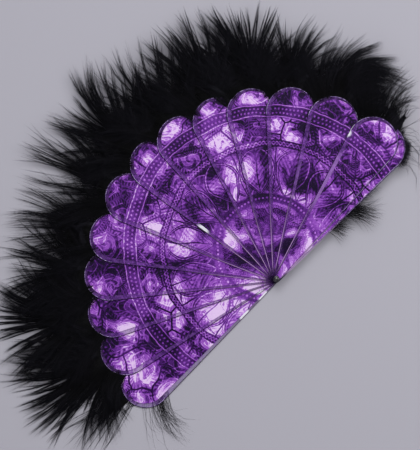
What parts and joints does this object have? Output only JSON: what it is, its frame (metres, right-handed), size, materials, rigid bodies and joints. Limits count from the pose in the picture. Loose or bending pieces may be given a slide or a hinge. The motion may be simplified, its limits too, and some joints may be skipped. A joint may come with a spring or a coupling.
{
  "type": "folding hand fan",
  "caption": "Folding stick fan of petal-shaped printed cards sealed in clear film, turning on one rivet, with black plumes behind the blade tips and a ribbon linking the blades.",
  "frame": {"origin": "middle of the flat face of the cap under the rivet, on the rivet's axis", "axes": "+Z along the rivet, towards the printed side; +Y along the middle of the open fan, from the pivot to the plumes; +X to the front guard's side"},
  "size_m": [0.3946, 0.251, 0.0165],
  "materials": {
    "card": "gloss print, purple and lilac ornament",
    "film": "clear gloss laminating film",
    "plume": "black marabou plume, soft barbs",
    "ribbon": "black satin ribbon",
    "rivet": "black enamel, satin"
  },
  "bodies": {
    "rear_guard": {"pivot_pin": "rivet", "pivot_washer": "rivet", "pivot_cap": "rivet", "rear_guard_card": "card", "rear_guard_film": "film", "rear_guard_plume": "plume", "ribbon_01": "ribbon"},
    "blade_02": {"blade_02_card": "card", "blade_02_film": "film", "blade_02_plume": "plume", "ribbon_02": "ribbon"},
    "blade_03": {"blade_03_card": "card", "blade_03_film": "film", "blade_03_plume": "plume", "ribbon_03": "ribbon"},
    "blade_04": {"blade_04_card": "card", "blade_04_film": "film", "blade_04_plume": "plume", "ribbon_04": "ribbon"},
    "blade_05": {"blade_05_card": "card", "blade_05_film": "film", "blade_05_plume": "plume", "ribbon_05": "ribbon"},
    "blade_06": {"blade_06_card": "card", "blade_06_film": "film", "blade_06_plume": "plume", "ribbon_06": "ribbon"},
    "blade_07": {"blade_07_card": "card", "blade_07_film": "film", "blade_07_plume": "plume", "ribbon_07": "ribbon"},
    "blade_08": {"blade_08_card": "card", "blade_08_film": "film", "blade_08_plume": "plume", "ribbon_08": "ribbon"},
    "blade_09": {"blade_09_card": "card", "blade_09_film": "film", "blade_09_plume": "plume", "ribbon_09": "ribbon"},
    "blade_10": {"blade_10_card": "card", "blade_10_film": "film", "blade_10_plume": "plume", "ribbon_10": "ribbon"},
    "blade_11": {"blade_11_card": "card", "blade_11_film": "film", "blade_11_plume": "plume", "ribbon_11": "ribbon"},
    "blade_12": {"blade_12_card": "card", "blade_12_film": "film", "blade_12_plume": "plume", "ribbon_12": "ribbon"},
    "blade_13": {"blade_13_card": "card", "blade_13_film": "film", "blade_13_plume": "plume", "ribbon_13": "ribbon"},
    "front_guard": {"front_guard_card": "card", "front_guard_film": "film", "front_guard_plume": "plume"}
  },
  "joints": [
    {"name": "blade_02_turn", "type": "hinge", "parent": "rear_guard", "child": "blade_02", "pos_m": [0, 0, 0], "axis": [0, 0, 1], "range_deg": [0, 13.3], "deforming": ["ribbon_01"]},
    {"name": "blade_03_turn", "type": "hinge", "parent": "blade_02", "child": "blade_03", "pos_m": [0, 0, 0], "axis": [0, 0, 1], "range_deg": [0, 13.7], "deforming": ["ribbon_02"]},
    {"name": "blade_04_turn", "type": "hinge", "parent": "blade_03", "child": "blade_04", "pos_m": [0, 0, 0], "axis": [0, 0, 1], "range_deg": [0, 12.8], "deforming": ["ribbon_03"]},
    {"name": "blade_05_turn", "type": "hinge", "parent": "blade_04", "child": "blade_05", "pos_m": [0, 0, 0], "axis": [0, 0, 1], "range_deg": [0, 13.2], "deforming": ["ribbon_04"]},
    {"name": "blade_06_turn", "type": "hinge", "parent": "blade_05", "child": "blade_06", "pos_m": [0, 0, 0], "axis": [0, 0, 1], "range_deg": [0, 14.6], "deforming": ["ribbon_05"]},
    {"name": "blade_07_turn", "type": "hinge", "parent": "blade_06", "child": "blade_07", "pos_m": [0, 0, 0], "axis": [0, 0, 1], "range_deg": [0, 14.4], "deforming": ["ribbon_06"]},
    {"name": "blade_08_turn", "type": "hinge", "parent": "blade_07", "child": "blade_08", "pos_m": [0, 0, 0], "axis": [0, 0, 1], "range_deg": [0, 12.3], "deforming": ["ribbon_07"]},
    {"name": "blade_09_turn", "type": "hinge", "parent": "blade_08", "child": "blade_09", "pos_m": [0, 0, 0], "axis": [0, 0, 1], "range_deg": [0, 13.8], "deforming": ["ribbon_08"]},
    {"name": "blade_10_turn", "type": "hinge", "parent": "blade_09", "child": "blade_10", "pos_m": [0, 0, 0], "axis": [0, 0, 1], "range_deg": [0, 12.1], "deforming": ["ribbon_09"]},
    {"name": "blade_11_turn", "type": "hinge", "parent": "blade_10", "child": "blade_11", "pos_m": [0, 0, 0], "axis": [0, 0, 1], "range_deg": [0, 13.5], "deforming": ["ribbon_10"]},
    {"name": "blade_12_turn", "type": "hinge", "parent": "blade_11", "child": "blade_12", "pos_m": [0, 0, 0], "axis": [0, 0, 1], "range_deg": [0, 14.5], "deforming": ["ribbon_11"]},
    {"name": "blade_13_turn", "type": "hinge", "parent": "blade_12", "child": "blade_13", "pos_m": [0, 0, 0], "axis": [0, 0, 1], "range_deg": [0, 18.6], "deforming": ["ribbon_12"]},
    {"name": "front_guard_turn", "type": "hinge", "parent": "blade_13", "child": "front_guard", "pos_m": [0, 0, 0], "axis": [0, 0, 1], "range_deg": [-3.2, 0], "deforming": ["ribbon_13"]}
  ],
  "couplings": [
    {"joint": "blade_03_turn", "follows": "blade_02_turn", "ratio": 1.0301},
    {"joint": "blade_04_turn", "follows": "blade_02_turn", "ratio": 0.96241},
    {"joint": "blade_05_turn", "follows": "blade_02_turn", "ratio": 0.99248},
    {"joint": "blade_06_turn", "follows": "blade_02_turn", "ratio": 1.0977},
    {"joint": "blade_07_turn", "follows": "blade_02_turn", "ratio": 1.0827},
    {"joint": "blade_08_turn", "follows": "blade_02_turn", "ratio": 0.92481},
    {"joint": "blade_09_turn", "follows": "blade_02_turn", "ratio": 1.0376},
    {"joint": "blade_10_turn", "follows": "blade_02_turn", "ratio": 0.90977},
    {"joint": "blade_11_turn", "follows": "blade_02_turn", "ratio": 1.015},
    {"joint": "blade_12_turn", "follows": "blade_02_turn", "ratio": 1.0902},
    {"joint": "blade_13_turn", "follows": "blade_02_turn", "ratio": 1.3985},
    {"joint": "front_guard_turn", "follows": "blade_02_turn", "ratio": -0.2406}
  ]
}
